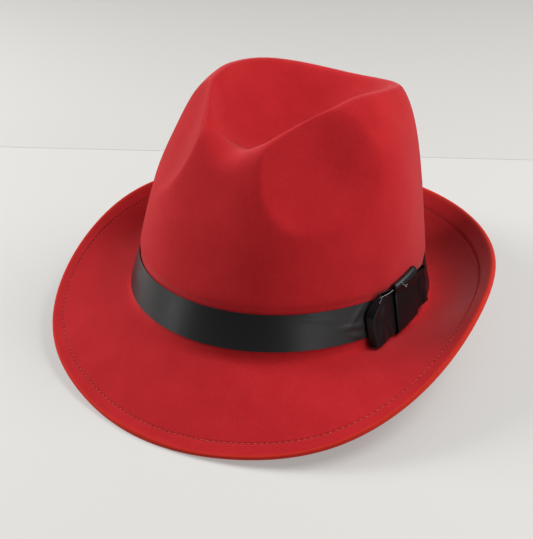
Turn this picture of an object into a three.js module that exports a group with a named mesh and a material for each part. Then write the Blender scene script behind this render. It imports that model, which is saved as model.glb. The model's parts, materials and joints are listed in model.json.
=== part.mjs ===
// Pressed felt hat with a teardrop crown, a snap brim and a ribbon with a flat side bow.
//
// Hat frame, millimetres: the front of the hat looks along -Y, the wearer's left
// (the bow's side) is +X, and +Z runs up through the crown. Z = 0 is the middle
// height of the break, the line where the crown turns into the brim. Every outline
// is a function of the azimuth, which is 0 at the front, 90 degrees at the bow and
// 180 degrees at the back, and the hat is alike on both sides but for the bow.
// Last of all the hat is laid down: it tips back by REST_PITCH, so that it stands
// on the front of its brim and on the bend at the back, as it does by itself.

import * as THREE from "three";

const DEG = Math.PI / 180;

// ---- sizes of the block the felt was pressed on -------------------------------
const HALF_LENGTH = 100;      // outer oval at the break, front to back
const HALF_WIDTH = 91.6;      // outer oval at the break, side to side
const BREAK_FRONT_RISE = 3.7; // the break line stands this much higher in front
const BREAK_SIDE_RISE = 2.0;  // and this much higher at the sides than at the ends
const WALL_LEAN = 0.213;      // how fast the wall draws in just above the break
const WALL_HANDLE = 0.36;     // length of that lower stretch, share of the height
const CREASE_FLOOR = 92;      // height of the bottom of the top crease
const CREASE_POWER = 1.6;     // how steeply the crease climbs to the crest
const CREASE_LONG = 0.6;      // how much the crease is drawn out front to back

// ---- outline table, one row every 22.5 degrees from the front to the back -------
// crestR   radius of the crest, seen from above
// crestZ   height of the crest
// shoulder length of the upper stretch of the wall, share of the height
// slope    slope of the wall where it meets the crest, degrees
// ridge    how far the crest is rounded off to each side
// reach    how far the brim's edge stands out from the break
// edgeZ    height of the brim's edge
const OUTLINE = [
  { crestR: 57.0, crestZ: 104.5, shoulder: 0.27, slope: 51, ridge: 17.0, reach: 41.5, edgeZ: -37.0 },
  { crestR: 60.0, crestZ: 120.5, shoulder: 0.29, slope: 57, ridge: 11.0, reach: 43.0, edgeZ: -32.0 },
  { crestR: 54.0, crestZ: 128.5, shoulder: 0.34, slope: 59, ridge: 7.5, reach: 51.5, edgeZ: -21.0 },
  { crestR: 43.0, crestZ: 133.0, shoulder: 0.41, slope: 42, ridge: 6.5, reach: 47.5, edgeZ: 4.0 },
  { crestR: 43.5, crestZ: 135.0, shoulder: 0.38, slope: 28, ridge: 6.0, reach: 39.0, edgeZ: 28.0 },
  { crestR: 50.0, crestZ: 133.5, shoulder: 0.26, slope: 33, ridge: 6.0, reach: 35.5, edgeZ: 32.5 },
  { crestR: 65.0, crestZ: 130.5, shoulder: 0.21, slope: 37, ridge: 6.5, reach: 35.5, edgeZ: 31.0 },
  { crestR: 73.0, crestZ: 125.0, shoulder: 0.22, slope: 40, ridge: 7.5, reach: 37.5, edgeZ: 30.5 },
  { crestR: 73.0, crestZ: 122.0, shoulder: 0.23, slope: 42, ridge: 8.0, reach: 38.5, edgeZ: 30.5 },
];

// ---- the two front pinches ------------------------------------------------------
const PINCH = {
  azimuth: 45,    // its deepest point, degrees from the front
  front: 25,      // degrees from there to its front border
  rear: 37,       // degrees from there to its rear border
  height: 106.5,  // height of its deepest point
  below: 36,      // how far it reaches down from there
  above: 32.5,    // and how far up, which ends it at about the crest
  depth: 11,
  steep: 0.75,    // power of the profile at its front border, below 1 for a crisp one
  fade: 0.37,     // half of what is added to the power towards its rear border
  soft: 0.06,     // rounding of its border
};

// ---- felt -----------------------------------------------------------------------
const FELT = 2.0;          // wall of the crown and brim
const HEM_THICK = 3.4;     // brim edge folded under and stitched
const HEM_WIDTH = 7.4;
const EDGE_ROUND = 1.2;
const BEND = 2.5;          // rounding of the break on the upper side
const CURL_FRONT = 0.0;    // how late the brim turns to its edge height, in front
const CURL_REST = 0.92;    // and at the sides and the back
const CURL_POWER = 2.4;
const HEM_EASE_FRONT = 0.7; // the stiff hem lies flatter than the felt beside it:
const HEM_EASE_REST = 0.95; // its slope as a share of the felt's slope there
const HEM_CREASE = 0.6;     // rounding of that bend

// ---- ribbon ---------------------------------------------------------------------
const CLEAR = 0.35;        // cloth to felt, and cloth to cloth
const BAND_WIDTH = 20;
const BAND_LIFT = 6.2;     // lower edge of the band above the break
const BAND_SQUEEZE = 1.5;  // how far the band's upper edge draws the felt in
const BAND_BULGE = 6;      // height over which the felt swells out again above it
const BAND_THICK = 0.8;
const BOW_AZIMUTH = 84.5;  // middle of the bow
const LOOP_THICK = 0.7;

// ---- how the hat lies -------------------------------------------------------------
const REST_PITCH = 7.2;    // degrees, front up
const REST_RAISE = 18.7;   // height of the hat frame's origin above the floor
const REST_SHIFT = 1.42;    // along Y, so that the origin is under the middle

const COLUMNS = 60;

// Periodic cubic B-spline through the table's rows, mirrored past the back.
function outline(name, azimuth) {
  const x = ((azimuth / (22.5 * DEG)) % 16 + 16) % 16;
  const i = Math.floor(x), f = x - i;
  const w = [(1 - f) ** 3 / 6, (3 * f ** 3 - 6 * f ** 2 + 4) / 6,
    (-3 * f ** 3 + 3 * f ** 2 + 3 * f + 1) / 6, f ** 3 / 6];
  let sum = 0;
  for (let k = 0; k < 4; k++) {
    const row = (i - 1 + k + 16) % 16;
    sum += w[k] * OUTLINE[row > 8 ? 16 - row : row][name];
  }
  return sum;
}

// The same column averaged over 45 degrees to each side, so that its waves are gone.
const calm = (name, a) => [1, 2, 3, 2, 1].reduce(
  (sum, weight, k) => sum + weight * outline(name, a + (k - 2) * 22.5 * DEG) / 9, 0);

const ovalRadius = (a) => 1 / Math.hypot(Math.sin(a) / HALF_WIDTH, Math.cos(a) / HALF_LENGTH);
const breakZ = (a) => BREAK_FRONT_RISE * Math.cos(a) - BREAK_SIDE_RISE * Math.cos(2 * a);
const at = (a, r, z) => new THREE.Vector3(r * Math.sin(a), -r * Math.cos(a), z);
const cubic = (p0, p1, p2, p3, t) =>
  (1 - t) ** 3 * p0 + 3 * (1 - t) ** 2 * t * p1 + 3 * (1 - t) * t * t * p2 + t ** 3 * p3;

// Depth of the pinch: a round dent whose border is crisp towards the nose of the
// crown and soft towards the back.
function pinchDepth(a, z) {
  const turn = Math.abs(Math.atan2(Math.sin(a), Math.cos(a))) / DEG;
  const u = (turn - PINCH.azimuth) / (turn < PINCH.azimuth ? PINCH.front : PINCH.rear);
  const v = (z - PINCH.height) / (z < PINCH.height ? PINCH.below : PINCH.above);
  const g = 1 - u * u - v * v;
  const inside = 0.5 * (g + Math.hypot(g, PINCH.soft));
  return PINCH.depth * inside ** (PINCH.steep + PINCH.fade * (1 + Math.tanh(2.2 * u)));
}

// The tight ribbon draws the wall in, most of all along its upper edge.
function squeeze(above) {
  const over = Math.min(1, Math.max(0, (above - BAND_LIFT - BAND_WIDTH) / BAND_BULGE));
  const under = Math.min(1, Math.max(0, (above - BAND_LIFT) / BAND_WIDTH));
  return BAND_SQUEEZE * under * (1 - over * over * (3 - 2 * over));
}

// The wall at azimuth a is one cubic curve, from the break (t = 0) to the crest
// (t = 1), with the pinch and the ribbon's squeeze taken off.
function wall(a, t) {
  const z0 = breakZ(a), z1 = outline("crestZ", a), tall = z1 - z0;
  const r0 = ovalRadius(a), r1 = outline("crestR", a);
  const slope = outline("slope", a) * DEG, arm = outline("shoulder", a) * tall;
  const r = cubic(r0, r0 - WALL_LEAN * WALL_HANDLE * tall, r1 + arm * Math.cos(slope), r1, t);
  const z = cubic(z0, z0 + WALL_HANDLE * tall, z1 - arm * Math.sin(slope), z1, t);
  return { r: r - pinchDepth(a, z) - squeeze(z - z0), z, arm };
}

// Where the wall passes a height above the break, found by halving.
function wallAtHeight(a, above) {
  const z = breakZ(a) + above;
  let lo = -0.1, hi = 0.9;
  for (let k = 0; k < 40; k++) {
    const mid = (lo + hi) / 2;
    if (wall(a, mid).z < z) lo = mid; else hi = mid;
  }
  return lo;
}
const wallRadius = (a, above) => wall(a, wallAtHeight(a, above)).r;

// Upper side of the brim, at a distance out from the break. It rises or falls to the
// edge along a curl, and eases off over the hem.
function brim(a, out) {
  const reach = outline("reach", a), back = (1 - Math.cos(a)) / 2;
  const curl = CURL_FRONT + (CURL_REST - CURL_FRONT) * back * (2 - back); // sets in soon after the front
  const ease = HEM_EASE_FRONT + (HEM_EASE_REST - HEM_EASE_FRONT) * back;
  const line = 1 - HEM_WIDTH / reach, soft = HEM_CREASE / reach;
  const rise = (s) => {
    const past = 0.5 * (s - line + Math.hypot(s - line, soft)), short = s - past;
    const slope = 1 - curl + curl * CURL_POWER * line ** (CURL_POWER - 1);
    return (1 - curl) * short + curl * Math.max(short, 0) ** CURL_POWER + ease * slope * past;
  };
  const share = (rise(out / reach) - rise(0)) / (rise(1) - rise(0));
  return at(a, ovalRadius(a) + out, breakZ(a) + (outline("edgeZ", a) - breakZ(a)) * share);
}

// One meridian of the outer surface, from the crease's floor to the brim's edge.
function meridian(a) {
  const crest = wall(a, 1), top = at(a, crest.r, crest.z);
  const crease = (q) => { // takes on the crest's own waves only close to it
    const own = q ** 3, mix = (mine, name) => own * mine + (1 - own) * calm(name, a);
    const p = at(a, q * mix(crest.r, "crestR"), 0);
    return new THREE.Vector3(p.x, p.y * (1 + CREASE_LONG * (1 - q)),
      CREASE_FLOOR + (mix(crest.z, "crestZ") - CREASE_FLOOR) * q ** CREASE_POWER);
  };
  const ridge = outline("ridge", a);
  const run = Math.hypot(top.x, (1 - CREASE_LONG) * top.y, CREASE_POWER * (top.z - CREASE_FLOOR));
  const qEnd = 1 - ridge / run, tEnd = 1 - ridge / (3 * crest.arm);
  const wallPoint = (t) => { const w = wall(a, t); return at(a, w.r, w.z); };
  const rounded = (p, c, q, t) => p.clone().multiplyScalar((1 - t) ** 2)
    .addScaledVector(c, 2 * t * (1 - t)).addScaledVector(q, t * t);

  const points = [];
  for (const q of [0.12, 0.26, 0.42, 0.58, 0.74, 0.88]) points.push(crease(q * qEnd));
  const from = crease(qEnd), to = wallPoint(tEnd);
  for (const t of [0, 0.33, 0.67, 1]) points.push(rounded(from, top, to, t));
  const swell = wallAtHeight(a, BAND_LIFT + BAND_WIDTH + BAND_BULGE);
  for (const t of [0.88, 0.76, 0.63, 0.5, 0.37, 0.24, 0.12, 0]) points.push(wallPoint(swell + t * (tEnd - swell)));
  for (const up of [BAND_WIDTH + BAND_BULGE / 2, BAND_WIDTH, BAND_WIDTH / 2, 0]) {
    points.push(wallPoint(wallAtHeight(a, BAND_LIFT + up)));
  }
  const foot = wallPoint(wallAtHeight(a, BEND));
  const toe = brim(a, BEND), corner = brim(a, 0);
  points.push(foot, rounded(foot, corner, toe, 0.5), toe);
  const reach = outline("reach", a);
  for (const out of [0.14 * reach, 0.32 * reach, 0.5 * reach, 0.67 * reach]) points.push(brim(a, out));
  for (const left of [HEM_WIDTH + 0.8, HEM_WIDTH, 2.6, EDGE_ROUND]) points.push(brim(a, reach - left));
  return points;
}
const HEM_ROWS = 3; // the last rows of a meridian lie on the folded hem

// The hat frame laid down on the floor.
function rest(p) {
  const s = Math.sin(REST_PITCH * DEG), c = Math.cos(REST_PITCH * DEG);
  return new THREE.Vector3(p.x, p.y * c + p.z * s + REST_SHIFT, p.z * c - p.y * s + REST_RAISE);
}

function meshOf(name, vertices, faces, material) {
  const geometry = new THREE.BufferGeometry();
  geometry.setAttribute("position", new THREE.Float32BufferAttribute(vertices.flatMap((p) => [p.x, p.y, p.z]), 3));
  geometry.setIndex(faces.flat());
  geometry.computeVertexNormals();
  const mesh = new THREE.Mesh(geometry, material);
  mesh.name = name;
  return mesh;
}
const quad = (faces, a, b, c, d) => faces.push([a, b, c], [a, c, d]);

// Normals of a grid of points, from the differences to the neighbours.
function gridNormals(grid, aroundU) {
  const nu = grid.length, nv = grid[0].length;
  return grid.map((line, i) => line.map((p, j) => {
    const before = aroundU ? grid[(i - 1 + nu) % nu] : grid[Math.max(i - 1, 0)];
    const after = aroundU ? grid[(i + 1) % nu] : grid[Math.min(i + 1, nu - 1)];
    const du = after[j].clone().sub(before[j]);
    const dv = line[Math.min(j + 1, nv - 1)].clone().sub(line[Math.max(j - 1, 0)]);
    return du.cross(dv).normalize();
  }));
}

// ---- the felt body: crown, crest, pinches, brim and hem in one pressed piece ------
function hatBody() {
  const outer = [];
  for (let i = 0; i < COLUMNS; i++) outer.push(meridian(2 * Math.PI * i / COLUMNS));
  const rows = outer[0].length;
  const normals = gridNormals(outer, true); // these point into the felt
  const under = outer.map((line, i) => line.map((p, j) =>
    p.clone().addScaledVector(normals[i][j], j >= rows - HEM_ROWS ? HEM_THICK : FELT)));

  // Felt gives way where it carries the hat: nothing goes below the floor, and the
  // upper side moves with the lower one.
  const up = [], down = [];
  for (let i = 0; i < COLUMNS; i++) {
    for (let j = 0; j < rows; j++) {
      const p = rest(outer[i][j]), q = rest(under[i][j]);
      const lift = Math.max(0, -q.z);
      p.z += lift;
      q.z = Math.max(0, q.z);
      up.push(p);
      down.push(q);
    }
  }
  const vertices = [...up, ...down];
  const U = (i, j) => (i % COLUMNS) * rows + j;
  const D = (i, j) => up.length + U(i, j);
  const edge = vertices.length; // one more row, round the brim's edge
  for (let i = 0; i < COLUMNS; i++) {
    const a = 2 * Math.PI * i / COLUMNS;
    const middle = up[U(i, rows - 1)].clone().add(down[U(i, rows - 1)]).multiplyScalar(0.5);
    const outward = up[U(i, rows - 1)].clone().sub(up[U(i, rows - 2)]).normalize();
    middle.addScaledVector(outward, EDGE_ROUND);
    middle.z = Math.max(middle.z, 0.8);
    vertices.push(middle);
  }
  const E = (i) => edge + (i % COLUMNS);
  const poleUp = vertices.length;
  vertices.push(rest(new THREE.Vector3(0, 0, CREASE_FLOOR)), rest(new THREE.Vector3(0, 0, CREASE_FLOOR - FELT)));
  const poleDown = poleUp + 1;

  const faces = [];
  for (let i = 0; i < COLUMNS; i++) {
    faces.push([poleUp, U(i, 0), U(i + 1, 0)], [poleDown, D(i + 1, 0), D(i, 0)]);
    for (let j = 0; j < rows - 1; j++) {
      quad(faces, U(i, j), U(i, j + 1), U(i + 1, j + 1), U(i + 1, j));
      quad(faces, D(i, j), D(i + 1, j), D(i + 1, j + 1), D(i, j + 1));
    }
    quad(faces, U(i, rows - 1), E(i), E(i + 1), U(i + 1, rows - 1));
    quad(faces, E(i), D(i, rows - 1), D(i + 1, rows - 1), E(i + 1));
  }
  return meshOf("hat_body", vertices, faces, felt);
}

// A strip of cloth: a grid of middle points given half its thickness to each side.
function clothSolid(name, grid, thickness, aroundU, material) {
  const normals = gridNormals(grid, aroundU);
  const nu = grid.length, nv = grid[0].length;
  const side = (sign) => grid.flatMap((line, i) => line.map((p, j) =>
    rest(p.clone().addScaledVector(normals[i][j], sign * thickness / 2))));
  const vertices = [...side(1), ...side(-1)];
  const A = (i, j) => (i % nu) * nv + j, B = (i, j) => nu * nv + A(i, j);
  const faces = [];
  const lines = aroundU ? nu : nu - 1;
  for (let i = 0; i < lines; i++) {
    for (let j = 0; j < nv - 1; j++) {
      quad(faces, A(i, j), A(i + 1, j), A(i + 1, j + 1), A(i, j + 1));
      quad(faces, B(i, j), B(i, j + 1), B(i + 1, j + 1), B(i + 1, j));
    }
    quad(faces, A(i, 0), B(i, 0), B(i + 1, 0), A(i + 1, 0));
    quad(faces, A(i, nv - 1), A(i + 1, nv - 1), B(i + 1, nv - 1), B(i, nv - 1));
  }
  if (!aroundU) {
    for (let j = 0; j < nv - 1; j++) {
      quad(faces, A(0, j), A(0, j + 1), B(0, j + 1), B(0, j));
      quad(faces, A(nu - 1, j), B(nu - 1, j), B(nu - 1, j + 1), A(nu - 1, j + 1));
    }
  }
  return meshOf(name, vertices, faces, material);
}

// ---- the ribbon band --------------------------------------------------------------
function ribbonBand() {
  const grid = [];
  for (let i = 0; i < COLUMNS; i++) {
    const a = 2 * Math.PI * i / COLUMNS, line = [];
    for (const share of [0, 0.5, 1]) {
      const above = BAND_LIFT + BAND_WIDTH * share;
      line.push(at(a, wallRadius(a, above) + CLEAR + BAND_THICK / 2, breakZ(a) + above));
    }
    grid.push(line);
  }
  return clothSolid("ribbon_band", grid, BAND_THICK, true, satin);
}

// A point of the bow: along the band in mm from the bow's middle (towards the back
// positive), above the break, and out from the crown's wall.
function onBow(along, above, out) {
  const a = BOW_AZIMUTH * DEG + along / ovalRadius(BOW_AZIMUTH * DEG);
  return at(a, wallRadius(a, above) + out, breakZ(a) + above);
}

// A loop of ribbon lies double: it leaves the knot on the band, turns at its outer
// end and comes back on top. The path gives along and out, the width its two edges.
function bowLoop(name, sign, path, low, high) {
  const curve = new THREE.SplineCurve(path.map(([along, out]) => new THREE.Vector2(along, out)));
  const grid = curve.getPoints(26).map((p) => {
    const share = Math.min(1, Math.max(0, p.x / 31));
    const lo = low[0] + (low[1] - low[0]) * share, hi = high[0] + (high[1] - high[0]) * share;
    return [0, 0.25, 0.5, 0.75, 1].map((s) => onBow(sign * p.x, lo + (hi - lo) * s, p.y));
  });
  if (sign < 0) grid.forEach((line) => line.reverse());
  return clothSolid(name, grid, LOOP_THICK, false, satin);
}

// The knot is a strip wrapped over the bow. It stands askew, so its upper end is
// tucked in above the band all along, and its lower end only in front; towards the
// back it ends on the band.
function bowKnot() {
  const grid = [];
  for (let k = 0; k <= 6; k++) {
    const along = -10.8 + 22.6 * k / 6;
    const middle = 19.0 + 0.2 * along;
    const tip = 0.75 + 1.2 * Math.min(1, Math.max(0, (along - 1) / 4));
    const path = [[-14.6, tip], [-14.9, Math.max(2.4, tip + 0.9)], [-13.2, 4.1], [-7, 4.6], [0, 4.75],
      [7, 4.6], [13.2, 4.1], [14.9, 2.4], [14.6, 0.75]];
    const curve = new THREE.SplineCurve(path.map(([up, out]) => new THREE.Vector2(up, out)));
    grid.push(curve.getPoints(18).map((p) => onBow(along, middle + p.x, p.y)));
  }
  return clothSolid("bow_knot", grid, LOOP_THICK, false, satin);
}

const felt = new THREE.MeshStandardMaterial({ color: 0xb4242b, roughness: 0.95, metalness: 0 });
const satin = new THREE.MeshStandardMaterial({ color: 0x17161a, roughness: 0.45, metalness: 0 });

const hat = new THREE.Group();
hat.add(hatBody());
hat.add(ribbonBand());
hat.add(bowLoop("bow_loop_front", -1,
  [[3, 1.85], [12, 1.85], [21, 1.85], [27.5, 1.95], [30.6, 2.6], [31.7, 4.0], [30.9, 5.5], [28.6, 6.3], [24, 5.9], [18.5, 4.6], [14, 3.5], [11, 3.05], [3, 2.95]],
  [5.5, 1.6], [30.0, 30.0]));
hat.add(bowLoop("bow_loop_back", 1,
  [[3, 1.85], [12, 1.85], [21, 1.85], [27.5, 1.95], [30.6, 2.6], [31.7, 4.0], [30.9, 5.5], [28.6, 6.3], [24, 5.9], [18.5, 4.6], [14.5, 3.5], [12, 3.05], [3, 2.95]],
  [8.0, 8.5], [31.5, 30.0]));
hat.add(bowKnot());

export default hat;
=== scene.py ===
# %% [markdown]
# # A pressed felt hat with a ribbon and a side bow
#
# This lesson dresses a plain solid model of a soft felt hat. The hat is one piece of
# felt: a crown with a teardrop crease and two front pinches, and a brim that is turned
# down in front and up at the sides and the back. A satin ribbon runs round the foot of
# the crown and ends in a flat bow on the wearer's left.
#
# The frame is loaded first. It holds the solids that carry weight and size. The felt,
# the ribbon and the three pieces of the bow each replace one of them in the same place,
# and the stitches and the ends of thread are added to them.

# %% Load the frame
import json
import math

import bpy
import numpy as np
from mathutils import Matrix, Vector

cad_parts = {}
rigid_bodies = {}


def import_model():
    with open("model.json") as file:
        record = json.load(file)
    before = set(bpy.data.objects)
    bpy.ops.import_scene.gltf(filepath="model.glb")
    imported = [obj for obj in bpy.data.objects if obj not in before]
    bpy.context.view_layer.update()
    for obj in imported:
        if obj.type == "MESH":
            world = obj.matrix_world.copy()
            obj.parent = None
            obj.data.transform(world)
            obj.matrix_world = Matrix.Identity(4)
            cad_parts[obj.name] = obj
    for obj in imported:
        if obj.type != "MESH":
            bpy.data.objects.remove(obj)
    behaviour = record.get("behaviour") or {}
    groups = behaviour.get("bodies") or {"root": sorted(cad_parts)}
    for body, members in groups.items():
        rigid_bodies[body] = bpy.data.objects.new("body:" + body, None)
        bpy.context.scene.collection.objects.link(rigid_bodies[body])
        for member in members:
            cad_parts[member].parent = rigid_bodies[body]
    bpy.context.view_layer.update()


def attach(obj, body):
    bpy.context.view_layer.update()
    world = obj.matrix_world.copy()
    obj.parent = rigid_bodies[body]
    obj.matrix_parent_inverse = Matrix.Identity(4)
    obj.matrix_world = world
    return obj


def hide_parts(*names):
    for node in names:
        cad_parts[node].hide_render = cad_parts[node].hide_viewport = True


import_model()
MM = 0.001

# %% [markdown]
# ## Where the hat lies
#
# All shapes are worked out in millimetres in the hat's own frame: the front looks along
# -Y, the wearer's left is +X, and zero height is the middle of the break, the line where
# the crown turns into the brim. A hat never stands on its break, though. It tips back
# until it rests on the front edge of the brim and on the bend at the back. The finished
# objects could be turned instead, but patterns and the export want them unturned at the
# origin. So the tilt is one small function of points, and every shape before it stays
# upright and symmetric.

# %% Lay the hat frame on the floor
REST_PITCH = math.radians(7.2)
REST_RAISE = 18.7
REST_SHIFT = 1.42


def rest_turn(vectors):
    """Turns directions about X by the resting pitch, front upwards."""
    c, s = math.cos(REST_PITCH), math.sin(REST_PITCH)
    x, y, z = np.moveaxis(np.asarray(vectors, float), -1, 0)
    return np.stack([x, y * c + z * s, z * c - y * s], -1)


def rest(points):
    """The resting turn, then the raise and the shift, for points in millimetres."""
    return rest_turn(points) + np.array([0.0, REST_SHIFT, REST_RAISE])


# %% [markdown]
# ## Camera, floor and light
#
# The camera stands in front, on the wearer's left, a little above the hat. Its place is
# given as a turn and a height angle about the hat, a distance, and a small roll, because
# a camera held by hand is never quite level. The lens is long for a small object, so
# the crown isn't swollen by perspective.

# %% Camera
CAMERA_TURN = math.radians(33.2)
CAMERA_HEIGHT = math.radians(27.53)
CAMERA_ROLL = math.radians(1.9)
CAMERA_DISTANCE = 637.8
SENSOR_WIDTH, LENS_OVER_SENSOR = 36.0, 1.8906
AIM_RIGHT, AIM_UP = -9.85, 8.97


def direction(turn, height):
    """The direction from the hat to a place at a turn about it and a height angle."""
    return np.array([math.sin(turn) * math.cos(height), -math.cos(turn) * math.cos(height),
                     math.sin(height)])


def camera_axes(turn, height, roll):
    """Directions of a camera that looks at the origin: level right, then right, up and
    back after the roll."""
    right = np.array([math.cos(turn), math.sin(turn), 0.0])
    back = direction(turn, height)
    up = np.cross(back, right)
    c, s = math.cos(roll), math.sin(roll)
    return right, right * c + up * s, up * c - right * s, back


level_right, cam_right, cam_up, cam_back = camera_axes(CAMERA_TURN, CAMERA_HEIGHT, CAMERA_ROLL)
aim = level_right * AIM_RIGHT + np.array([0.0, 0.0, AIM_UP])
eye = rest(aim + cam_back * CAMERA_DISTANCE) * MM
axes = rest_turn(np.stack([cam_right, cam_up, cam_back]))

camera_data = bpy.data.cameras.new("camera")
camera_data.sensor_fit = "HORIZONTAL"
camera_data.sensor_width = SENSOR_WIDTH
camera_data.lens = SENSOR_WIDTH * LENS_OVER_SENSOR
camera = bpy.data.objects.new("camera", camera_data)
bpy.context.scene.collection.objects.link(camera)
camera.matrix_world = Matrix(
    [[axes[0][i], axes[1][i], axes[2][i], eye[i]] for i in range(3)] + [[0, 0, 0, 1]]
)
bpy.context.scene.camera = camera
print("camera at", [round(v, 3) for v in eye])

# %% [markdown]
# The hat stands on a pale, matt table top, and behind it lies a sheet of card that is a
# little darker. Both are plain planes: they only catch the shadow and give the felt its
# soft grey surroundings. A curved studio wall would do as well, but it would hide the hat
# in a view from behind.


# %% Floor and backing sheet
def new_material(name):
    """A new node material; returns it with its node tree and its shader."""
    material = bpy.data.materials.new(name)
    material.use_nodes = True
    return material, material.node_tree, material.node_tree.nodes["Principled BSDF"]


def plane(name, corners, material):
    """A flat four-cornered stage piece."""
    mesh = bpy.data.meshes.new(name)
    mesh.from_pydata(corners, [], [(0, 1, 2, 3)])
    mesh.materials.append(material)
    piece = bpy.data.objects.new(name, mesh)
    bpy.context.scene.collection.objects.link(piece)


paper, _, paper_shader = new_material("table_top")
paper_shader.inputs["Base Color"].default_value = (0.28, 0.277, 0.266, 1.0)
# The pale table top also glows a little, as if light came through it from below.
paper_shader.inputs["Emission Color"].default_value = (1.0, 0.985, 0.955, 1.0)
paper_shader.inputs["Emission Strength"].default_value = 0.31
paper_shader.inputs["Roughness"].default_value = 0.75
sheet_card, _, sheet_shader = new_material("sheet_card")
sheet_shader.inputs["Base Color"].default_value = (0.455, 0.445, 0.425, 1.0)
sheet_shader.inputs["Roughness"].default_value = 0.85

view_across = np.array([math.cos(CAMERA_TURN), math.sin(CAMERA_TURN)])
view_away = np.array([-math.sin(CAMERA_TURN), math.cos(CAMERA_TURN)])


def on_floor(across, away, height=0.0):
    """A point given across and away along the camera's view of the floor."""
    x, y = view_across * across + view_away * away
    return (float(x), float(y), height)


FLOOR_HALF = 4.0
SHEET_NEAR, SHEET_SKEW, SHEET_THICK = 0.217, -0.12, 0.0003
SHEET_NEAR_HALF, SHEET_FAR_HALF = 1.2, 3.0
plane("floor", [on_floor(x * FLOOR_HALF, y * FLOOR_HALF)
                for x, y in ((-1, -1), (1, -1), (1, 1), (-1, 1))], paper)
sheet_corners = [(x, SHEET_NEAR + SHEET_SKEW * x) for x in (-SHEET_NEAR_HALF, SHEET_NEAR_HALF)]
sheet_corners += [(SHEET_FAR_HALF, FLOOR_HALF), (-SHEET_FAR_HALF, FLOOR_HALF)]
plane("backing_sheet", [on_floor(*corner, SHEET_THICK) for corner in sheet_corners], sheet_card)
print("backing sheet from", SHEET_NEAR, "m behind the hat's middle")

# %% [markdown]
# Pale daylight comes from the left, and a second soft light from behind on the right
# picks out the crown's far side. Low, weak ones open the shadow on the front of the wall,
# and the dim room fills the rest. They are square area lights, because a bare point of
# light would draw a hard shadow on the table.

# %% Room and softboxes
world = bpy.data.worlds.new("soft_room")
world.use_nodes = True
room_light = world.node_tree.nodes["Background"]
room_light.inputs["Color"].default_value = (0.95, 0.97, 1.0, 1.0)
room_light.inputs["Strength"].default_value = 0.10
bpy.context.scene.world = world
CROWN_MIDDLE = Vector((0.0, 0.0, 0.06))


def softbox(name, turn, height, distance, size, watts):
    """A square area light that looks at the crown, from a turn about the hat and a
    height angle, both in degrees; the turn is 0 in front and 90 at the bow."""
    light = bpy.data.lights.new(name, "AREA")
    light.shape = "SQUARE"
    light.size = size
    light.energy = watts
    lamp = bpy.data.objects.new(name, light)
    bpy.context.scene.collection.objects.link(lamp)
    ray = Vector(direction(math.radians(turn), math.radians(height)))
    lamp.location = CROWN_MIDDLE + ray * distance
    lamp.rotation_euler = (-ray).to_track_quat("-Z", "Y").to_euler()


# Turn, height, distance in metres, size in metres and power in watts.
SOFTBOXES = {
    "ceiling": (0, 89, 1.5, 1.6, 1.1),
    "left_window": (-74, 33, 1.2, 0.6, 17.0),
    "left_low": (-45, 3, 2.6, 0.5, 3.6),
    "right_low": (62, 3, 2.6, 0.5, 4.0),
    "right_window": (90, 20, 1.2, 0.5, 4.3),
    "right_rear": (125, 50, 1.2, 0.6, 12.6),
    "rear": (160, 55, 1.3, 0.8, 3.5),
}
for name, setting in SOFTBOXES.items():
    softbox(name, *setting)
print("softboxes:", ", ".join(SOFTBOXES))

# %% [markdown]
# ## The outline table
#
# A felt hat is steamed over a wooden block, so its shape is smooth all round. Nine rows
# from the front to the back say how the crest, the wall and the brim change; a periodic
# B-spline follows the rows and their mirror images, which keeps the hat alike on both
# sides. A sculpted mesh could have the same form, but in a table every size can be read
# and changed. The rows are the same as in the solid model, so both have one size.

# %% Outline rows and their spline
HALF_LENGTH, HALF_WIDTH = 100.0, 91.6  # of the oval at the break
BREAK_FRONT_RISE, BREAK_SIDE_RISE = 3.7, 2.0
ROW_NAMES = ("crest_r", "crest_z", "shoulder", "slope", "ridge", "reach", "edge_z")
ROWS = np.array([
    [57.0, 104.5, 0.27, 51, 17.0, 41.5, -37.0],
    [60.0, 120.5, 0.29, 57, 11.0, 43.0, -32.0],
    [54.0, 128.5, 0.34, 59, 7.5, 51.5, -21.0],
    [43.0, 133.0, 0.41, 42, 6.5, 47.5, 4.0],
    [43.5, 135.0, 0.38, 28, 6.0, 39.0, 28.0],
    [50.0, 133.5, 0.26, 33, 6.0, 35.5, 32.5],
    [65.0, 130.5, 0.21, 37, 6.5, 35.5, 31.0],
    [73.0, 125.0, 0.22, 40, 7.5, 37.5, 30.5],
    [73.0, 122.0, 0.23, 42, 8.0, 38.5, 30.5],
])
RING_ROWS = np.concatenate([ROWS, ROWS[7:0:-1]])  # sixteen rows once round


def outline(name, azimuth):
    """One column of the table at any azimuth: a periodic cubic B-spline of the rows."""
    column = RING_ROWS[:, ROW_NAMES.index(name)]
    x = np.mod(np.asarray(azimuth, float) / math.radians(22.5), 16)
    i = np.floor(x).astype(int)
    f = x - i
    weights = [(1 - f) ** 3 / 6, (3 * f**3 - 6 * f**2 + 4) / 6,
               (-3 * f**3 + 3 * f**2 + 3 * f + 1) / 6, f**3 / 6]
    return sum(w * column[(i - 1 + k) % 16] for k, w in enumerate(weights))


def calm(name, azimuth):
    """The same column averaged over 45 degrees to each side, so its waves are gone."""
    turns = np.radians([-45.0, -22.5, 0.0, 22.5, 45.0])
    return sum(w * outline(name, azimuth + turn) for w, turn in zip((1, 2, 3, 2, 1), turns)) / 9


def oval_radius(a):
    """Radius of the oval at the break."""
    return 1.0 / np.hypot(np.sin(a) / HALF_WIDTH, np.cos(a) / HALF_LENGTH)


def break_height(a):
    """The break waves a little: higher in front and at the sides."""
    return BREAK_FRONT_RISE * np.cos(a) - BREAK_SIDE_RISE * np.cos(2 * a)


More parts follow.
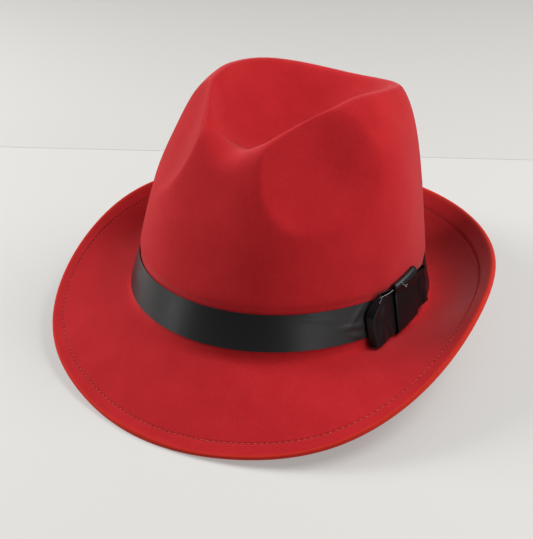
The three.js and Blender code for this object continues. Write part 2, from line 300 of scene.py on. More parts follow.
def at(a, r, z):
    """A point from azimuth, radius and height."""
    return np.stack([r * np.sin(a), -r * np.cos(a), z + 0.0 * a], -1)


def bezier(p0, p1, p2, p3, t):
    """A cubic curve with end values p0 and p3 and handles p1 and p2."""
    return (1 - t) ** 3 * p0 + 3 * (1 - t) ** 2 * t * p1 + 3 * (1 - t) * t**2 * p2 + t**3 * p3


print("outline at the bow:", {n: round(float(outline(n, math.pi / 2)), 1) for n in ROW_NAMES})

# %% [markdown]
# ## Wall, pinches and the ribbon's grip
#
# The wall of the crown is one curve from the break to the crest. Two things change it.
# Fingers pinch the front of the crown, which leaves a round dent on each side, crisp
# towards the nose and soft towards the back. And the tight ribbon draws the felt in, so
# that it swells out again just above the ribbon. Both could be pushed in with a lattice;
# as formulas of azimuth and height they have a place and a depth of their own.

# %% Wall of the crown
WALL_LEAN, WALL_HANDLE = 0.213, 0.36
BAND_WIDTH, BAND_LIFT, BAND_SQUEEZE, BAND_BULGE = 20.0, 6.2, 1.5, 6.0
PINCH = dict(azimuth=45.0, front=25.0, rear=37.0, height=106.5, below=36.0, above=32.5,
             depth=11.0, steep=0.75, fade=0.37, swing=2.2, soft=0.06)


def pinch_depth(a, z):
    """Depth of the front dents: a paraboloid with a rounded border in the plane of
    azimuth and height, raised to a power that grows from its crisp front border to
    its soft rear one."""
    turn = np.degrees(np.abs(np.arctan2(np.sin(a), np.cos(a))))
    past, over = turn - PINCH["azimuth"], z - PINCH["height"]
    u = past / np.where(past < 0, PINCH["front"], PINCH["rear"])
    v = over / np.where(over < 0, PINCH["below"], PINCH["above"])
    g = 1 - u * u - v * v
    inside = 0.5 * (g + np.hypot(g, PINCH["soft"]))
    power = PINCH["steep"] + PINCH["fade"] * (1 + np.tanh(PINCH["swing"] * u))
    return PINCH["depth"] * inside**power


def squeeze(above):
    """How far the ribbon draws the felt in: growing up to its upper edge, then gone
    over the height of the bulge."""
    over = np.clip((above - BAND_LIFT - BAND_WIDTH) / BAND_BULGE, 0, 1)
    under = np.clip((above - BAND_LIFT) / BAND_WIDTH, 0, 1)
    return BAND_SQUEEZE * under * (1 - over * over * (3 - 2 * over))


def wall(a, t):
    """Radius and height of the wall at azimuth a, from the break (0) to the crest (1)."""
    z0, z1 = break_height(a), outline("crest_z", a)
    tall = z1 - z0
    r0, r1 = oval_radius(a), outline("crest_r", a)
    slope, arm = np.radians(outline("slope", a)), outline("shoulder", a) * tall
    r = bezier(r0, r0 - WALL_LEAN * WALL_HANDLE * tall, r1 + arm * np.cos(slope), r1, t)
    z = bezier(z0, z0 + WALL_HANDLE * tall, z1 - arm * np.sin(slope), z1, t)
    return r - pinch_depth(a, z) - squeeze(z - z0), z


def wall_share(a, above):
    """The share t at which the wall passes a height above the break, by halving."""
    a, above = np.broadcast_arrays(np.asarray(a, float), np.asarray(above, float))
    low, high = np.full(a.shape, -0.1), np.full(a.shape, 0.9)
    for _ in range(40):
        middle = (low + high) / 2
        short = wall(a, middle)[1] < break_height(a) + above
        low, high = np.where(short, middle, low), np.where(short, high, middle)
    return low


def wall_radius(a, above):
    """Radius of the wall at a height above the break."""
    return wall(a, wall_share(a, above))[0]


# %% [markdown]
# ## The brim
#
# The brim leaves the crown almost flat and turns to the height of its edge along a curl,
# late at the sides and the back and evenly in front. Its hem is stiff, because the felt
# is doubled and stitched there, so in front, where the brim slopes down, the hem lies
# flatter than the felt beside it. A straight line and a power curve are mixed, because
# either alone would make the brim a cone or a bowl.

# %% Brim
HEM_WIDTH = 7.4
CURL_BACK, CURL_POWER = 0.92, 2.4
HEM_EASE_FRONT, HEM_EASE_BACK, HEM_CREASE = 0.7, 0.95, 0.6


def brim(a, out):
    """A point of the brim's upper side, out millimetres from the break. The rise is a
    mix of a straight line and a power curve, and eases off over the hem."""
    reach, back = outline("reach", a), (1 - np.cos(a)) / 2
    curl = CURL_BACK * back * (2 - back)  # sets in soon after the front
    ease = HEM_EASE_FRONT + (HEM_EASE_BACK - HEM_EASE_FRONT) * back
    line, soft = 1 - HEM_WIDTH / reach, HEM_CREASE / reach

    def rise(s):
        past = 0.5 * (s - line + np.hypot(s - line, soft))
        slope = 1 - curl + curl * CURL_POWER * line ** (CURL_POWER - 1)
        short = s - past
        bowl = np.maximum(short, 0) ** CURL_POWER
        return (1 - curl) * short + curl * bowl + ease * slope * past

    share = (rise(out / reach) - rise(0.0)) / (rise(1.0) - rise(0.0))
    z = break_height(a) + (outline("edge_z", a) - break_height(a)) * share
    return at(a, oval_radius(a) + out, z)


# %% [markdown]
# ## The felt body
#
# Crown and brim are one surface of two parameters, so it is built as a grid: columns run
# round the hat, and each row is one ring from the floor of the crease to the brim's
# edge. Each stretch has a ring count of its own: many rings where the felt bends, few
# where it is plain. A subdivided cage would spend its faces evenly instead.

# %% Rings of the outer surface
CREASE_FLOOR, CREASE_POWER, CREASE_LONG = 92.0, 1.6, 0.6
BEND = 2.5  # how far the rounded bend at the break reaches up the wall and out
EDGE_ROUND = 1.2  # how far the folded edge bulges out
COLUMNS = 300
CREASE_RINGS, CREST_RINGS, WALL_RINGS, GRIP_RINGS, BEND_RINGS, BRIM_RINGS = 24, 9, 34, 22, 6, 18
GRIP_TOP, GRIP_FOOT = 31.0, 3.4  # heights above the break of the rings at the ribbon
SEAM_HALF = 0.5  # half the width of the stitched seam's groove
# Distances in from the brim's edge of the hem's rings, from its seam outwards.
HEM_STEPS = (HEM_WIDTH, HEM_WIDTH - SEAM_HALF, 6.3, 5.4, 4.5, 3.4, 2.3, EDGE_ROUND)


def rounded(p, corner, q, t):
    """A parabola that rounds the corner between p and q."""
    return (1 - t) ** 2 * p + 2 * t * (1 - t) * corner + t * t * q


def outer_rings():
    """The rings of points from the crease's floor over the crest and down to the brim's
    edge, as one grid of columns and rings."""
    a = np.linspace(0, 2 * math.pi, COLUMNS, endpoint=False)
    crest_r, crest_z = wall(a, 1.0)
    top = at(a, crest_r, crest_z)
    ridge = outline("ridge", a)
    tall = crest_z - break_height(a)
    slant = np.hypot(top[:, 0], (1 - CREASE_LONG) * top[:, 1])
    run = np.hypot(slant, CREASE_POWER * (crest_z - CREASE_FLOOR))
    q_end = 1 - ridge / run
    t_end = 1 - ridge / (3 * outline("shoulder", a) * tall)

    def crease(q):
        own = q**3  # the crease takes on the crest's own waves only close to it
        r = q * (own * crest_r + (1 - own) * calm("crest_r", a))
        z = own * crest_z + (1 - own) * calm("crest_z", a)
        return np.stack([r * np.sin(a), -r * np.cos(a) * (1 + CREASE_LONG * (1 - q)),
                         CREASE_FLOOR + (z - CREASE_FLOOR) * q**CREASE_POWER], -1)

    def wall_point(t):
        r, z = wall(a, t)
        return at(a, r, z)

    rings = [crease(q * q_end) for q in np.linspace(0.03, 0.975, CREASE_RINGS)]
    start, end = crease(q_end), wall_point(t_end)
    rings += [rounded(start, top, end, t) for t in np.linspace(0, 1, CREST_RINGS)]
    swell = wall_share(a, BAND_LIFT + BAND_WIDTH + BAND_BULGE)
    rings += [wall_point(swell + t * (t_end - swell)) for t in np.linspace(0.97, 0, WALL_RINGS)]
    rings += [wall_point(wall_share(a, above))
              for above in np.linspace(GRIP_TOP, GRIP_FOOT, GRIP_RINGS)]
    foot, toe, corner = wall_point(wall_share(a, BEND)), brim(a, BEND), brim(a, 0.0)
    rings += [rounded(foot, corner, toe, t) for t in np.linspace(0, 1, BEND_RINGS)]
    reach = outline("reach", a)
    plain = reach - HEM_WIDTH - 2 * SEAM_HALF - BEND
    rings += [brim(a, BEND + plain * t) for t in np.linspace(0.06, 1, BRIM_RINGS)]
    rings += [brim(a, reach - left) for left in (HEM_WIDTH + SEAM_HALF, *HEM_STEPS)]
    return np.stack(rings, 1)


outer = outer_rings()
OUTER_RINGS = outer.shape[1]
SEAM_RING = OUTER_RINGS - len(HEM_STEPS)
print("felt grid:", outer.shape)

# %% [markdown]
# The underside is the same grid moved in by the felt's thickness. The felt is doubled at
# the hem, and a Solidify modifier would need a vertex group for that, so it is worked out.
# Normals come from the differences between neighbouring rings and columns. They point
# into the felt, so the underside is the outer grid plus thickness times normal.


# %% Normals and the underside
def grid_normals(grid, closed):
    """Unit normals of a grid of points: the cross product of its two differences."""
    if closed:
        du = np.roll(grid, -1, 0) - np.roll(grid, 1, 0)
    else:
        du = np.gradient(grid, axis=0)
    n = np.cross(du, np.gradient(grid, axis=1))
    return n / np.linalg.norm(n, axis=-1, keepdims=True)


FELT, HEM_THICK = 2.0, 3.4
SEAM_GROOVE = 0.55  # the thread pulls a groove into the felt
inward = grid_normals(outer, closed=True)
thickness = np.where(np.arange(OUTER_RINGS) < SEAM_RING, FELT, HEM_THICK)
under = outer + inward * thickness[None, :, None]
outer[:, SEAM_RING] += SEAM_GROOVE * inward[:, SEAM_RING]
print("underside", under.shape)

# %% [markdown]
# The brim's edge is a fold, so it is round: half an ellipse joins the upper and the lower
# side. A Bevel modifier would have to find that edge first. Where the hat touches the
# floor the felt gives way: nothing goes below the floor, and the upper side moves along
# with the lower one.


# %% The folded edge, and the whole body laid down
def folded_edge(upper, lower, out, steps=7):
    """Half an ellipse from upper to lower, bulging along out by EDGE_ROUND."""
    middle, half = (upper + lower) / 2, (upper - lower) / 2
    angle = np.linspace(0, math.pi, steps + 2)[1:-1]
    return np.stack([middle + half * math.cos(t) + out * (EDGE_ROUND * math.sin(t))
                     for t in angle], 1)


outward = outer[:, -1] - outer[:, -3]
outward /= np.linalg.norm(outward, axis=-1, keepdims=True)
edge = folded_edge(outer[:, -1], under[:, -1], outward)
upper_laid, edge_laid, under_laid = rest(outer), rest(edge), rest(under)
lift = np.maximum(0.0, -under_laid[..., 2])
upper_laid[..., 2] += lift
under_laid[..., 2] += lift
edge_laid[..., 2] = np.maximum(edge_laid[..., 2], 0.0)
body_grid = np.concatenate([upper_laid, edge_laid, under_laid[:, ::-1]], 1)
print("body rings:", body_grid.shape[1])

# %% [markdown]
# A closed grid becomes a mesh by numbering its points and listing four corners for each
# cell. The last column joins the first, and a fan of triangles closes each pole. The
# whole mesh could be welded from separate strips, but numbered corners need no welding.


# %% Mesh from a grid
def mesh_piece(name, points, faces, material):
    """A smooth mesh object at the origin from points in millimetres and its faces."""
    mesh = bpy.data.meshes.new(name)
    mesh.from_pydata((np.asarray(points) * MM).tolist(), [], faces)
    mesh.validate()
    mesh.polygons.foreach_set("use_smooth", np.full(len(mesh.polygons), True))
    mesh.materials.append(material)
    piece = bpy.data.objects.new(name, mesh)
    bpy.context.scene.collection.objects.link(piece)
    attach(piece, "root")
    return piece


def grid_faces(nu, nv, closed_u, closed_v=False):
    """Four corners of every cell of a grid whose points are numbered row by row."""
    cells_u, cells_v = nu if closed_u else nu - 1, nv if closed_v else nv - 1
    i, j = np.meshgrid(np.arange(cells_u), np.arange(cells_v), indexing="ij")
    i2, j2 = (i + 1) % nu, (j + 1) % nv
    return np.stack([i * nv + j, i * nv + j2, i2 * nv + j2, i2 * nv + j], -1).reshape(-1, 4)


def closed_body(name, grid, first_pole, last_pole, material):
    """A grid that is closed round the hat, with a fan of triangles at each pole."""
    nu, nv = grid.shape[:2]
    points = np.concatenate([grid.reshape(-1, 3), [first_pole, last_pole]])
    column = np.arange(nu)
    after = (column + 1) % nu
    first = np.stack([np.full(nu, nu * nv), column * nv, after * nv], -1)
    last = np.stack([np.full(nu, nu * nv + 1), after * nv + nv - 1, column * nv + nv - 1], -1)
    faces = grid_faces(nu, nv, True).tolist() + first.tolist() + last.tolist()
    return mesh_piece(name, points, faces, material)


def set_attribute(piece, name, values):
    """Stores one number per point for a material to read."""
    layer = piece.data.attributes.new(name, "FLOAT", "POINT")
    layer.data.foreach_set("value", np.asarray(values, np.float32).ravel())


# %% [markdown]
# ## Felt
#
# Pressed felt is a mat of short fibres. Close by it is matt with a light fuzz, and at a
# grazing angle the fuzz catches the light, so its edges look pink rather than dark: that
# is the shader's sheen. Real hairs could be grown on it, but they are far too fine to
# tell apart from here. Fine noise gives the nap, a slower noise gives the cloudy dye,
# and the fold at the brim's edge is painted a little lighter and warmer: a painted
# highlight along the rounded fold.


# %% Helpers for shader nodes
def add(tree, kind, **values):
    """Adds a node and sets its properties or, by socket name, its inputs."""
    node = tree.nodes.new(kind)
    for key, value in values.items():
        if hasattr(node, key):
            setattr(node, key, value)
        else:
            node.inputs[key.replace("_", " ")].default_value = value
    return node


def add_ramp(tree, factor, low, high, low_end=0.0, high_end=1.0):
    """Adds a colour ramp from low to high, driven by factor; returns its colour."""
    ramp = add(tree, "ShaderNodeValToRGB")
    for stop, place, colour in zip(ramp.color_ramp.elements, (low_end, high_end), (low, high)):
        stop.position = place
        stop.color = colour
    tree.links.new(factor, ramp.inputs["Fac"])
    return ramp.outputs["Color"]


# %% Felt material
DEEP_RED, BRIGHT_RED = (0.336, 0.0102, 0.0130, 1), (0.388, 0.0142, 0.0176, 1)
# A lighter, warmer red for the fold at the brim's edge: a painted highlight.
EDGE_HIGHLIGHT_RED = (0.47, 0.027, 0.011, 1)


def felt_material():
    """Cloudy red dye, a painted highlight on the brim's fold, and the nap in the bump."""
    material, tree, shader = new_material("red_felt")
    link = tree.links.new
    coordinates = add(tree, "ShaderNodeTexCoord").outputs["Object"]
    clouds = add(tree, "ShaderNodeTexNoise", Scale=40.0, Detail=5.0, Roughness=0.65)
    nap = add(tree, "ShaderNodeTexNoise", Scale=900.0, Detail=3.0, Roughness=0.7)
    link(coordinates, clouds.inputs["Vector"])
    link(coordinates, nap.inputs["Vector"])
    dye = add_ramp(tree, clouds.outputs["Fac"], DEEP_RED, BRIGHT_RED, 0.3, 0.7)
    # The hem attribute marks the brim's fold, which is mixed towards the lighter red as a painted
    # highlight.
    hem = add(tree, "ShaderNodeAttribute", attribute_name="hem")
    highlight_mix = add(tree, "ShaderNodeMix", data_type="RGBA")
    link(hem.outputs["Fac"], highlight_mix.inputs["Factor"])
    link(dye, highlight_mix.inputs["A"])
    highlight_mix.inputs["B"].default_value = EDGE_HIGHLIGHT_RED
    speck = add(tree, "ShaderNodeMix", data_type="RGBA", blend_type="MULTIPLY")
    speck_ramp = add(tree, "ShaderNodeMapRange", To_Min=0.82, To_Max=1.18)
    link(nap.outputs["Fac"], speck_ramp.inputs["Value"])
    speck.inputs["Factor"].default_value = 1.0
    link(highlight_mix.outputs["Result"], speck.inputs["A"])
    link(speck_ramp.outputs["Result"], speck.inputs["B"])
    link(speck.outputs["Result"], shader.inputs["Base Color"])
    bump = add(tree, "ShaderNodeBump", Strength=0.35, Distance=0.0003)
    link(nap.outputs["Fac"], bump.inputs["Height"])
    link(bump.outputs["Normal"], shader.inputs["Normal"])
    shader.inputs["Roughness"].default_value = 0.92
    shader.inputs["Specular IOR Level"].default_value = 0.04
    shader.inputs["Sheen Weight"].default_value = 0.22
    shader.inputs["Sheen Roughness"].default_value = 0.45
    shader.inputs["Sheen Tint"].default_value = (1.0, 0.50, 0.50, 1)
    return material


felt = felt_material()
crease_floor = rest(np.array([0.0, 0.0, CREASE_FLOOR]))
crease_under = rest(np.array([0.0, 0.0, CREASE_FLOOR - FELT]))
body = closed_body("felt_body", body_grid, crease_floor, crease_under, felt)
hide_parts("hat_body")

# The brim's fold gets the painted highlight: a lighter, warmer red in the felt material.
fold_highlight = np.zeros(body_grid.shape[1])
fold_highlight[OUTER_RINGS - 1:OUTER_RINGS + edge.shape[1]] = 0.6
set_attribute(body, "hem", np.append(np.tile(fold_highlight, COLUMNS), [0.0, 0.0]))
print("felt body:", len(body.data.polygons), "faces")

# %% [markdown]
# The brim's edge is folded under and sewn down with one row of machine stitches. Each
# stitch is a short thread that comes up out of the felt, runs along the seam and goes
# down again: a thin tube on an arched line. One stitch could be repeated by Array and
# Curve modifiers, but those know nothing of the felt's slope. So they are all made at
# once, as one grid of numbers for the stitch, the place along it and the place round it.

# %% The row of stitches
STITCHES, STITCH_SHARE, STITCH_RADIUS = 260, 0.72, 0.36
STITCH_PLACES, STITCH_SIDES = 7, 5
STITCH_TOP, STITCH_DROP, STITCH_TAPER = 0.42, 0.62, 0.8


def ring_sample(ring, turns):
    """Points of a closed ring at fractions of a full turn, by straight lines between."""
    x = np.mod(turns, 1.0) * len(ring)
    i = x.astype(int) % len(ring)
    t = (x - np.floor(x))[..., None]
    return ring[i] * (1 - t) + ring[(i + 1) % len(ring)] * t


def stitch_row():
    """Tubes over the seam: the arch is a parabola, highest in the middle of a stitch."""
    s = np.linspace(-1, 1, STITCH_PLACES)
    turns = (np.arange(STITCHES)[:, None] + 0.5 * STITCH_SHARE * s) / STITCHES
    seam = ring_sample(upper_laid[:, SEAM_RING], turns)
    out = -ring_sample(rest_turn(inward[:, SEAM_RING]), turns)
    out /= np.linalg.norm(out, axis=-1, keepdims=True)
    centre = seam + out * (STITCH_TOP - STITCH_DROP * s**2)[None, :, None]
    ahead = np.gradient(centre, axis=1)
    ahead /= np.linalg.norm(ahead, axis=-1, keepdims=True)
    across = np.cross(ahead, out)[:, :, None]
    upward = np.cross(across, ahead[:, :, None])
    angle = np.linspace(0, 2 * math.pi, STITCH_SIDES, endpoint=False)[:, None]
    radius = STITCH_RADIUS * np.sqrt(1 - STITCH_TAPER * s**4)[None, :, None, None]
    return centre[:, :, None] + radius * (across * np.cos(angle) + upward * np.sin(angle))


def tube_faces(tubes):
    """Faces of many tubes at once, from their grid of tube, place along and place round:
    the cells of every side, and a cap at both ends of each tube."""
    count, places, sides = tubes.shape[:3]
    first = np.arange(count) * places * sides
    cells = (first[:, None, None] + grid_faces(places, sides, False, True)).reshape(-1, 4)
    start = first[:, None] + np.arange(sides)
    end = start + (places - 1) * sides
    caps = np.stack([start, end[:, ::-1]], 1).reshape(-1, sides)
    return cells[:, ::-1].tolist() + caps.tolist()


def thread_material(name, low, high):
    """Twisted sewing thread: its colour changes a little from place to place."""
    material, tree, shader = new_material(name)
    coordinates = add(tree, "ShaderNodeTexCoord").outputs["Object"]
    twist = add(tree, "ShaderNodeTexNoise", Scale=1400.0, Detail=2.0)
    tree.links.new(coordinates, twist.inputs["Vector"])
    tree.links.new(add_ramp(tree, twist.outputs["Fac"], low, high), shader.inputs["Base Color"])
    shader.inputs["Roughness"].default_value = 0.6
    return material


tubes = stitch_row()
red_thread = thread_material("red_thread", (0.27, 0.011, 0.008, 1), (0.44, 0.038, 0.020, 1))
stitches = mesh_piece("hem_stitches", tubes.reshape(-1, 3), tube_faces(tubes), red_thread)
stitch_length = float(np.linalg.norm(tubes[0, 0, 0] - tubes[0, -1, 0]))
print("stitches:", STITCHES, "of", round(stitch_length, 2), "mm")

# %% [markdown]
# ## The ribbon
#
# Satin ribbon is a thin woven band with a smooth face: floating threads lie side by side
# along it, so light smears across them in broad grey bands. Near black, it shows little
# but those bands, so the material is mostly a matter of roughness and a fine bump.

# %% Satin material
BLACK, WORN_BLACK = (0.0040, 0.0038, 0.0042, 1), (0.0085, 0.0080, 0.0088, 1)


def satin_material(name, gloss):
    """Near-black satin: fine ribs and slubs, read from the piece's own UVs, break up its
    shine; gloss is the strength of its mirror-like part."""
    material, tree, shader = new_material(name)
    link = tree.links.new
    uv = add(tree, "ShaderNodeUVMap", uv_map="cloth").outputs["UV"]
    ribs = add(tree, "ShaderNodeTexWave", wave_type="BANDS", bands_direction="X",
               Scale=1.0, Distortion=0.6, Detail=1.0)
    slubs = add(tree, "ShaderNodeTexNoise", Scale=1.0, Detail=3.0)
    for texture, scale in ((ribs, (550.0, 60.0, 1.0)), (slubs, (400.0, 2500.0, 1.0))):
        mapping = add(tree, "ShaderNodeMapping", Scale=scale)
        link(uv, mapping.inputs["Vector"])
        link(mapping.outputs["Vector"], texture.inputs["Vector"])
    height = add(tree, "ShaderNodeMix", data_type="FLOAT")
    height.inputs["Factor"].default_value = 0.5
    link(ribs.outputs["Fac"], height.inputs["A"])
    link(slubs.outputs["Fac"], height.inputs["B"])
    bump = add(tree, "ShaderNodeBump", Strength=0.18, Distance=0.0001)
    link(height.outputs["Result"], bump.inputs["Height"])
    link(bump.outputs["Normal"], shader.inputs["Normal"])
    link(add_ramp(tree, slubs.outputs["Fac"], BLACK, WORN_BLACK), shader.inputs["Base Color"])
    shader.inputs["Roughness"].default_value = 0.35
    shader.inputs["Specular IOR Level"].default_value = gloss
    return material


satin = satin_material("black_satin", 0.40)
shaded_bow_satin = satin_material("shaded_bow_satin", 0.22)  # a darker copy of the band's satin with weaker shine: painted shade
print("satin:", satin.name, shaded_bow_satin.name)

# %% [markdown]
# The ribbon and the bow's pieces are strips of cloth with a real thickness. A plane with
# a Solidify modifier would look alike, but its pattern has to follow the strip, and its
# edges have to stay crisp. So one function gives any middle surface its two sides, its
# edges and a map of the cloth in metres.


# %% Cloth strips with thickness
def run_length(line):
    """Distance along a line of points, from its first point to each one."""
    return np.cumsum(np.linalg.norm(np.diff(line, axis=0, prepend=line[:1]), axis=-1))


def cloth_piece(name, grid, thick, closed, material):
    """A strip of cloth from its middle surface: the grid moved half the thickness to
    each side and joined round its border, whose edges stay crisp; a UV map holds metres
    along and across."""
    n = grid_normals(grid, closed)
    nu, nv = grid.shape[:2]
    loop = np.concatenate([grid + n * thick / 2, (grid - n * thick / 2)[:, ::-1]], 1)
    laid = rest(loop)
    faces = grid_faces(nu, 2 * nv, closed, True)[:, ::-1].tolist()
    if not closed:
        cap = np.arange(2 * nv)
        faces += [cap.tolist(), (cap + (nu - 1) * 2 * nv)[::-1].tolist()]
    piece = mesh_piece(name, laid.reshape(-1, 3), faces, material)
    ends = np.empty(2 * len(piece.data.edges), np.int32)
    piece.data.edges.foreach_get("vertices", ends)
    side = ends.reshape(-1, 2) % (2 * nv)
    border = (side[:, 0] == side[:, 1]) & np.isin(side[:, 0], (0, nv - 1, nv, 2 * nv - 1))
    crisp = piece.data.attributes.new("sharp_edge", "BOOLEAN", "EDGE")
    crisp.data.foreach_set("value", border)
    along, across = run_length(grid[:, nv // 2]), run_length(grid[0])
    u = np.repeat(along, 2 * nv)
    v = np.tile(np.concatenate([across, across[::-1]]), nu)
    corner = np.empty(len(piece.data.loops), np.int32)
    piece.data.loops.foreach_get("vertex_index", corner)
    layer = piece.data.uv_layers.new(name="cloth")
    metres = np.stack([u[corner], v[corner]], -1) * MM
    layer.data.foreach_set("uv", metres.astype(np.float32).ravel())
    return piece


# %% [markdown]
# The band is drawn tight round the crown, so it follows the wall at a small clearance.
# It has a few shallow creases, the deepest where it is pulled in beside the bow. Cloth
# simulation would find creases of its own; in a list, each lies where it should.

# %% Band and its creases
CLEAR, BAND_THICK = 0.35, 0.8
SATIN_THICK = 0.4  # the sheet lies in the middle of the solid's thickness
BAND_COLUMNS, BAND_ROWS = 640, 17
# Creases of the band: azimuth and share of the width of the middle, half length in
# degrees, rise in share for each degree, half width as a share, and height in mm.
BAND_CREASES = (
    (43, 0.84, 8, -0.018, 0.07, 0.34),
    (58, 0.42, 5, -0.006, 0.06, 0.36),
    (61, 0.72, 3, 0.07, 0.09, 0.36),
    (60, 0.14, 3, -0.03, 0.06, 0.28),
    (-34, 0.55, 9, 0.012, 0.10, 0.16),
    (112, 0.7, 5, -0.03, 0.08, 0.3),
    (150, 0.4, 8, 0.02, 0.09, 0.2),
    (-120, 0.6, 10, -0.012, 0.09, 0.2),
)
BAND_WAVE = 0.10  # height of the five slow waves that the band has all round


def band_creases(a, share):
    """Height of the band's creases over its slow waves: each crease is a ridge with a
    bell-shaped profile across a line along the band, and fades away from its middle."""
    degrees, height = np.degrees(a), BAND_WAVE * np.sin(5 * a) * np.sin(3 * share)
    for middle, row, length, rise, half, tall in BAND_CREASES:
        off = (degrees - middle + 180) % 360 - 180
        across = (share - row - rise * off) / half
        height = height + tall * np.exp(-(across**2) - (off / length) ** 2)
    return height


def ribbon_grid():
    """Middle surface of the band, from its lower to its upper edge."""
    a = np.linspace(0, 2 * math.pi, BAND_COLUMNS, endpoint=False)[:, None]
    share = np.linspace(0, 1, BAND_ROWS)[None, :]
    a, share = np.broadcast_arrays(a, share)
    above = BAND_LIFT + share * BAND_WIDTH
    r = wall_radius(a, above) + CLEAR + BAND_THICK / 2 + band_creases(a, share)
    return at(a, r, break_height(a) + above)


band = cloth_piece("satin_band", ribbon_grid(), SATIN_THICK, True, satin)
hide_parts("ribbon_band")
print("band:", len(band.data.polygons), "faces")

# %% [markdown]
# ## The bow
#
# The bow is a flat one: two lengths of ribbon folded back on themselves, lying on the
# band, and a third strip wrapped over their middle. Each loop is a path along the band
# and out from it, carried across the ribbon's width. It is pressed flat by hand, so a
# drawn path suits it better than a simulated cloth that falls by itself.

# %% Bow loops
BOW_AZIMUTH = math.radians(84.5)
LOOP_SEAT = 1.85  # how far out from the wall a loop's under layer lies
LOOP_SPAN = 31.0  # how far a loop reaches along the band before it is scaled
LOOP_PATH = np.array([
    [3, LOOP_SEAT], [12, LOOP_SEAT], [21, LOOP_SEAT], [27.5, LOOP_SEAT], [31.2, 1.9],
    [32.0, 2.4], [31.2, 4.0], [30.0, 5.9], [29.3, 6.4], [28.2, 6.3],
    [24, 5.7], [18.5, 4.5], [14, 3.5], [11, 3.05], [3, 2.95],
])
LOOP_TIP = 0.62  # share of the width at which a loop's end reaches farthest


def catmull_rom(points, count):
    """A smooth curve through the points: the four-point spline, sampled evenly."""
    p = np.concatenate([2 * points[:1] - points[1:2], points, 2 * points[-1:] - points[-2:-1]])
    x = np.linspace(0, len(points) - 1, count)
    i = np.minimum(x.astype(int), len(points) - 2)
    t = (x - i)[:, None]
    a, b, c, d = p[i], p[i + 1], p[i + 2], p[i + 3]
    square, cube = 2 * a - 5 * b + 4 * c - d, 3 * b - a - 3 * c + d
    return 0.5 * (2 * b + (c - a) * t + square * t**2 + cube * t**3)


def on_bow(along, above, out):
    """A point of the bow: along the band from the bow's middle, above the break, and
    out from the wall."""
    a = BOW_AZIMUTH + along / oval_radius(BOW_AZIMUTH)
    return at(a, wall_radius(a, above) + out, break_height(a) + above)


def loop_grid(sign, low, high, reach, loft, ragged, rows=21, steps=110):
    """A folded loop: its path, scaled by reach along and loft out, crossed with its
    width. Low and high give each edge's height above the break at the knot and at the
    loop's end. Small waves crumple the outer layer, and ragged draws the corners of its
    end in."""
    path = catmull_rom(LOOP_PATH, steps)
    along, out = path[:, :1] * reach, LOOP_SEAT + (path[:, 1:] - LOOP_SEAT) * loft
    share = np.clip(along / LOOP_SPAN, 0, 1)
    lower, upper = low[0] + (low[1] - low[0]) * share, high[0] + (high[1] - high[0]) * share
    s = np.linspace(0, 1, rows)[None, :]
    returning = np.clip(np.arange(steps)[:, None] - steps / 2, 0, 1)
    outer_layer = np.clip((out - 2.6) / 2, 0, 1) * returning
    waves = 0.30 * np.sin(0.55 * along + 5.0 * s) + 0.22 * np.sin(0.9 * along - 9.0 * s + 1.0)
    below, beyond = 0.3 * (LOOP_TIP - s) / LOOP_TIP, 1.2 * (s - LOOP_TIP) / (1 - LOOP_TIP)
    pull = 1 - ragged * np.where(s < LOOP_TIP, below, beyond) ** 1.5 * share**2
    grid = on_bow(sign * along * pull, lower + (upper - lower) * s, out + outer_layer * waves)
    return grid if sign > 0 else grid[:, ::-1]


front_grid = loop_grid(-1, (5.5, 1.6), (30.0, 29.5), reach=1.02, loft=1.0, ragged=0.24)
back_grid = loop_grid(1, (8.0, 9.5), (31.5, 31.5), reach=0.93, loft=0.55, ragged=0.06)
bow_front = cloth_piece("bow_front_loop", front_grid, SATIN_THICK, False, shaded_bow_satin)
bow_back = cloth_piece("bow_back_loop", back_grid, SATIN_THICK, False, shaded_bow_satin)
print("loops:", len(bow_front.data.polygons), len(bow_back.data.polygons), "faces")

# %% [markdown]
# The strip over the middle is made in the same way, but its path runs across the band:
# out from under one edge of the bow, over both loops, and in again under the other.

# %% Knot of the bow
KNOT_MIDDLE, KNOT_LEAN = 19.0, 0.2
KNOT_FROM, KNOT_TO, KNOT_LINES = -10.8, 11.8, 15
KNOT_TUCK, KNOT_LIFT = 0.75, 1.2  # how far out its lower end lies, and rises to the rear


def knot_grid(steps=50):
    """The strip over the middle: it stands askew and is tucked in above and below."""
    along = np.linspace(KNOT_FROM, KNOT_TO, KNOT_LINES)
    tips = KNOT_TUCK + KNOT_LIFT * np.clip((along - 1) / 4, 0, 1)
    lines = []
    for x, tip in zip(along, tips):
        path = catmull_rom(np.array([
            [-14.6, tip], [-14.9, max(2.4, tip + 0.9)], [-13.2, 4.1], [-7, 4.6],
            [0, 4.75], [7, 4.6], [13.2, 4.1], [14.9, 2.4], [14.6, KNOT_TUCK],
        ]), steps)
        above = KNOT_MIDDLE + KNOT_LEAN * x + path[:, 0]
        lines.append(on_bow(np.full(steps, x), above, path[:, 1]))
    return np.stack(lines)


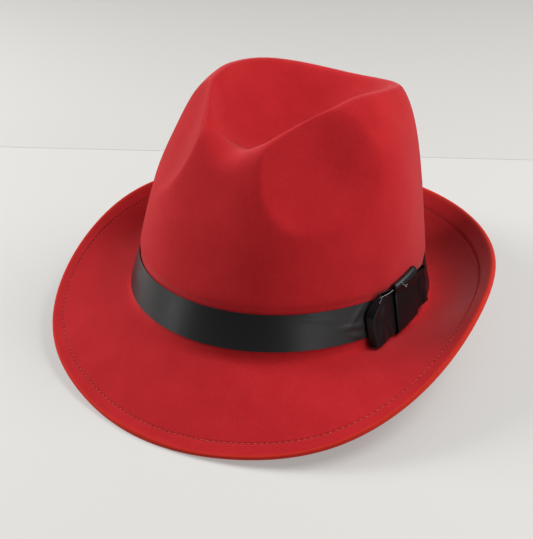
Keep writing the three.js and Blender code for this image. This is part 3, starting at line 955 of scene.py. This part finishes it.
knot = cloth_piece("bow_middle", knot_grid(), SATIN_THICK, False, shaded_bow_satin)
for piece, node in ((bow_front, "bow_loop_front"), (bow_back, "bow_loop_back"), (knot, "bow_knot")):
    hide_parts(node)
print("knot:", len(knot.data.polygons), "faces")

# %% [markdown]
# The bow is sewn on by hand with pale thread, and a few ends were left showing along its
# upper edge. Each is a line of points on the bow, smoothed and given a thin round tube. A
# curve with a bevel would do as well, but a grid shares the stitches' list of faces.

# %% Loose ends of the sewing thread
# Along the band, above the break and out from the wall, in mm, for each end.
THREAD_ENDS = (
    ((-25.5, 29.6, 5.6), (-23, 30.6, 6.2), (-19, 31.0, 6.0), (-14.5, 31.4, 5.2)),
    ((-26, 26.8, 6.9), (-24.8, 28.4, 6.7), (-24, 29.6, 6.2)),
    ((-6, 33.4, 4.2), (-5, 31.4, 5.2), (-3.4, 30.5, 5.3), (-1.4, 30.7, 5.3)),
    ((-3.4, 30.5, 5.3), (-2.4, 29.3, 5.4), (-1.0, 28.8, 5.3)),
    ((11.2, 33.6, 3.0), (12.2, 32.2, 4.0), (11.4, 31.0, 4.4), (13.2, 30.3, 4.2)),
)
THREAD_RADIUS = 0.13


def thread_tube(points, steps=14, sides=6):
    """A tube round a smooth line: circles in the two directions square to the line."""
    path = catmull_rom(np.array(points, float), steps)
    line = np.stack([on_bow(x, z, out) for x, z, out in path])
    ahead = np.gradient(line, axis=0)
    ahead /= np.linalg.norm(ahead, axis=1, keepdims=True)
    side = np.cross(ahead, [0.0, 0.0, 1.0])
    side /= np.linalg.norm(side, axis=1, keepdims=True)
    angle = np.linspace(0, 2 * math.pi, sides, endpoint=False)[None, :, None]
    ring = side[:, None] * np.cos(angle) + np.cross(side, ahead)[:, None] * np.sin(angle)
    return line[:, None] + THREAD_RADIUS * ring


ends = np.stack([thread_tube(points) for points in THREAD_ENDS])
pale_thread = thread_material("pale_thread", (0.20, 0.20, 0.21, 1), (0.45, 0.45, 0.45, 1))
thread_ends = mesh_piece("thread_ends", rest(ends).reshape(-1, 3), tube_faces(ends), pale_thread)
print("thread ends:", len(ends))

# %% The end of the scene
bpy.context.scene.view_settings.view_transform = "Standard"
